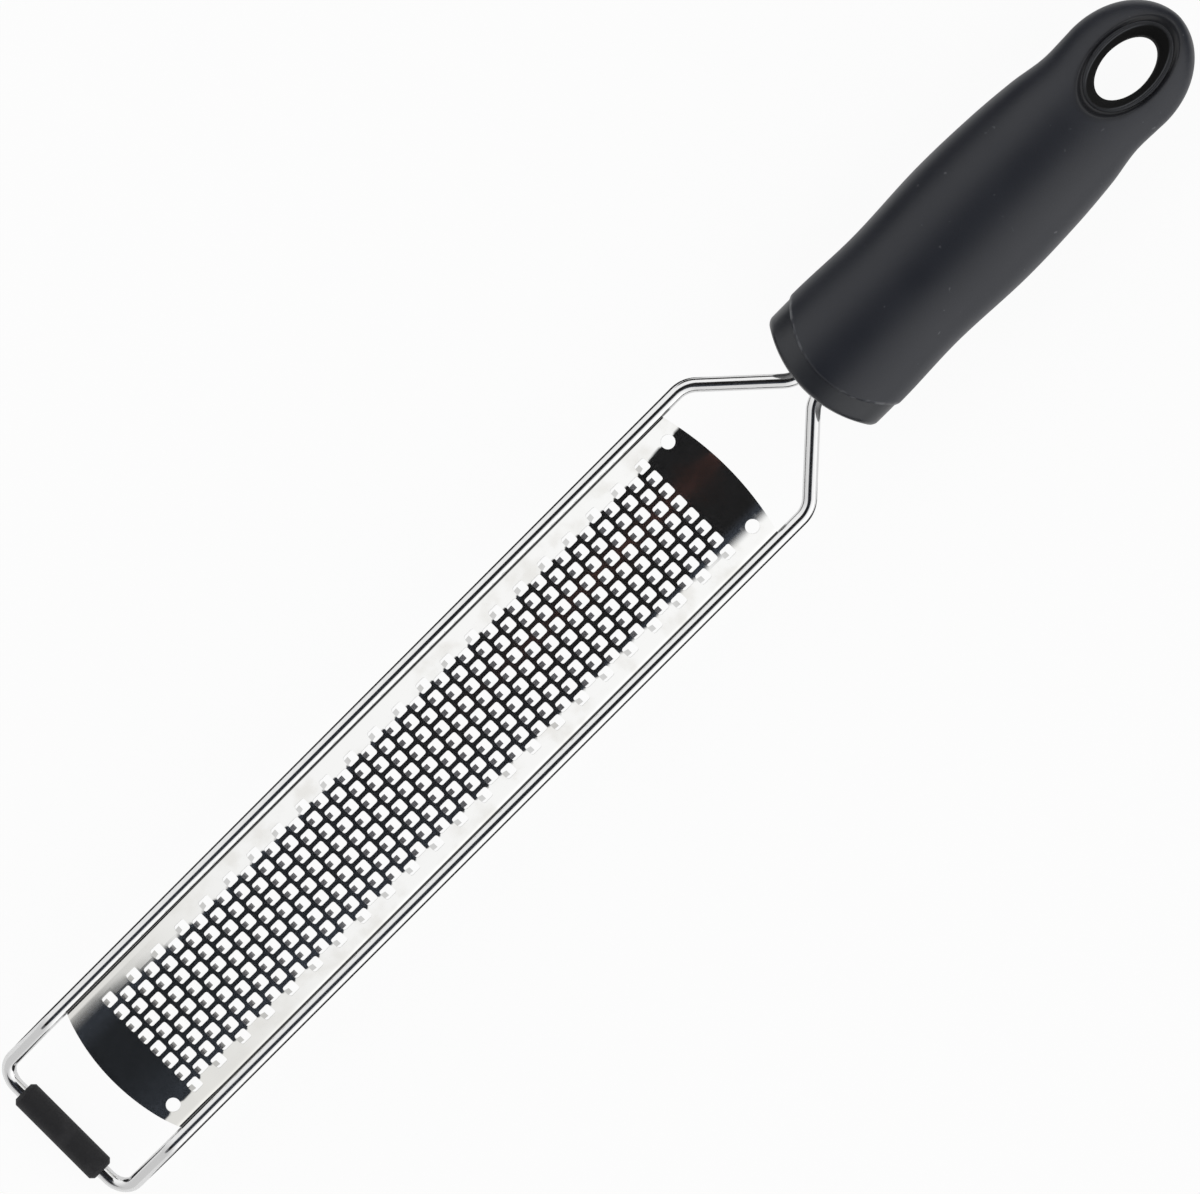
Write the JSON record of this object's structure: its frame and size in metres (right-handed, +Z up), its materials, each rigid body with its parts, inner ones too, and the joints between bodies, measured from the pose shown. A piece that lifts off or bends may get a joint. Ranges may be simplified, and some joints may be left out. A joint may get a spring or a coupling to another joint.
{
  "type": "rasp zester",
  "caption": "Long hand rasp: an etched steel grating blade in a bent wire frame, with a rubber foot and a soft-grip handle that has a hanging hole.",
  "frame": {"origin": "on the table, under the middle of the tool's length and width", "axes": "+X along the tool from the rubber foot to the hanging hole, +Y across the blade, +Z up out of the cutting side"},
  "size_m": [0.3195, 0.0382, 0.024],
  "materials": {
    "polished_wire": "drawn and polished stainless wire",
    "etched_sheet": "bright etched stainless sheet",
    "foot_rubber": "matt extruded rubber",
    "core_plastic": "satin moulded polypropylene",
    "grip_rubber": "fine matt soft-touch overmould"
  },
  "bodies": {
    "root": {"wire_frame": "polished_wire", "rasp_blade": "etched_sheet", "foot_sleeve": "foot_rubber", "handle_core": "core_plastic", "soft_grip": "grip_rubber"}
  },
  "joints": []
}
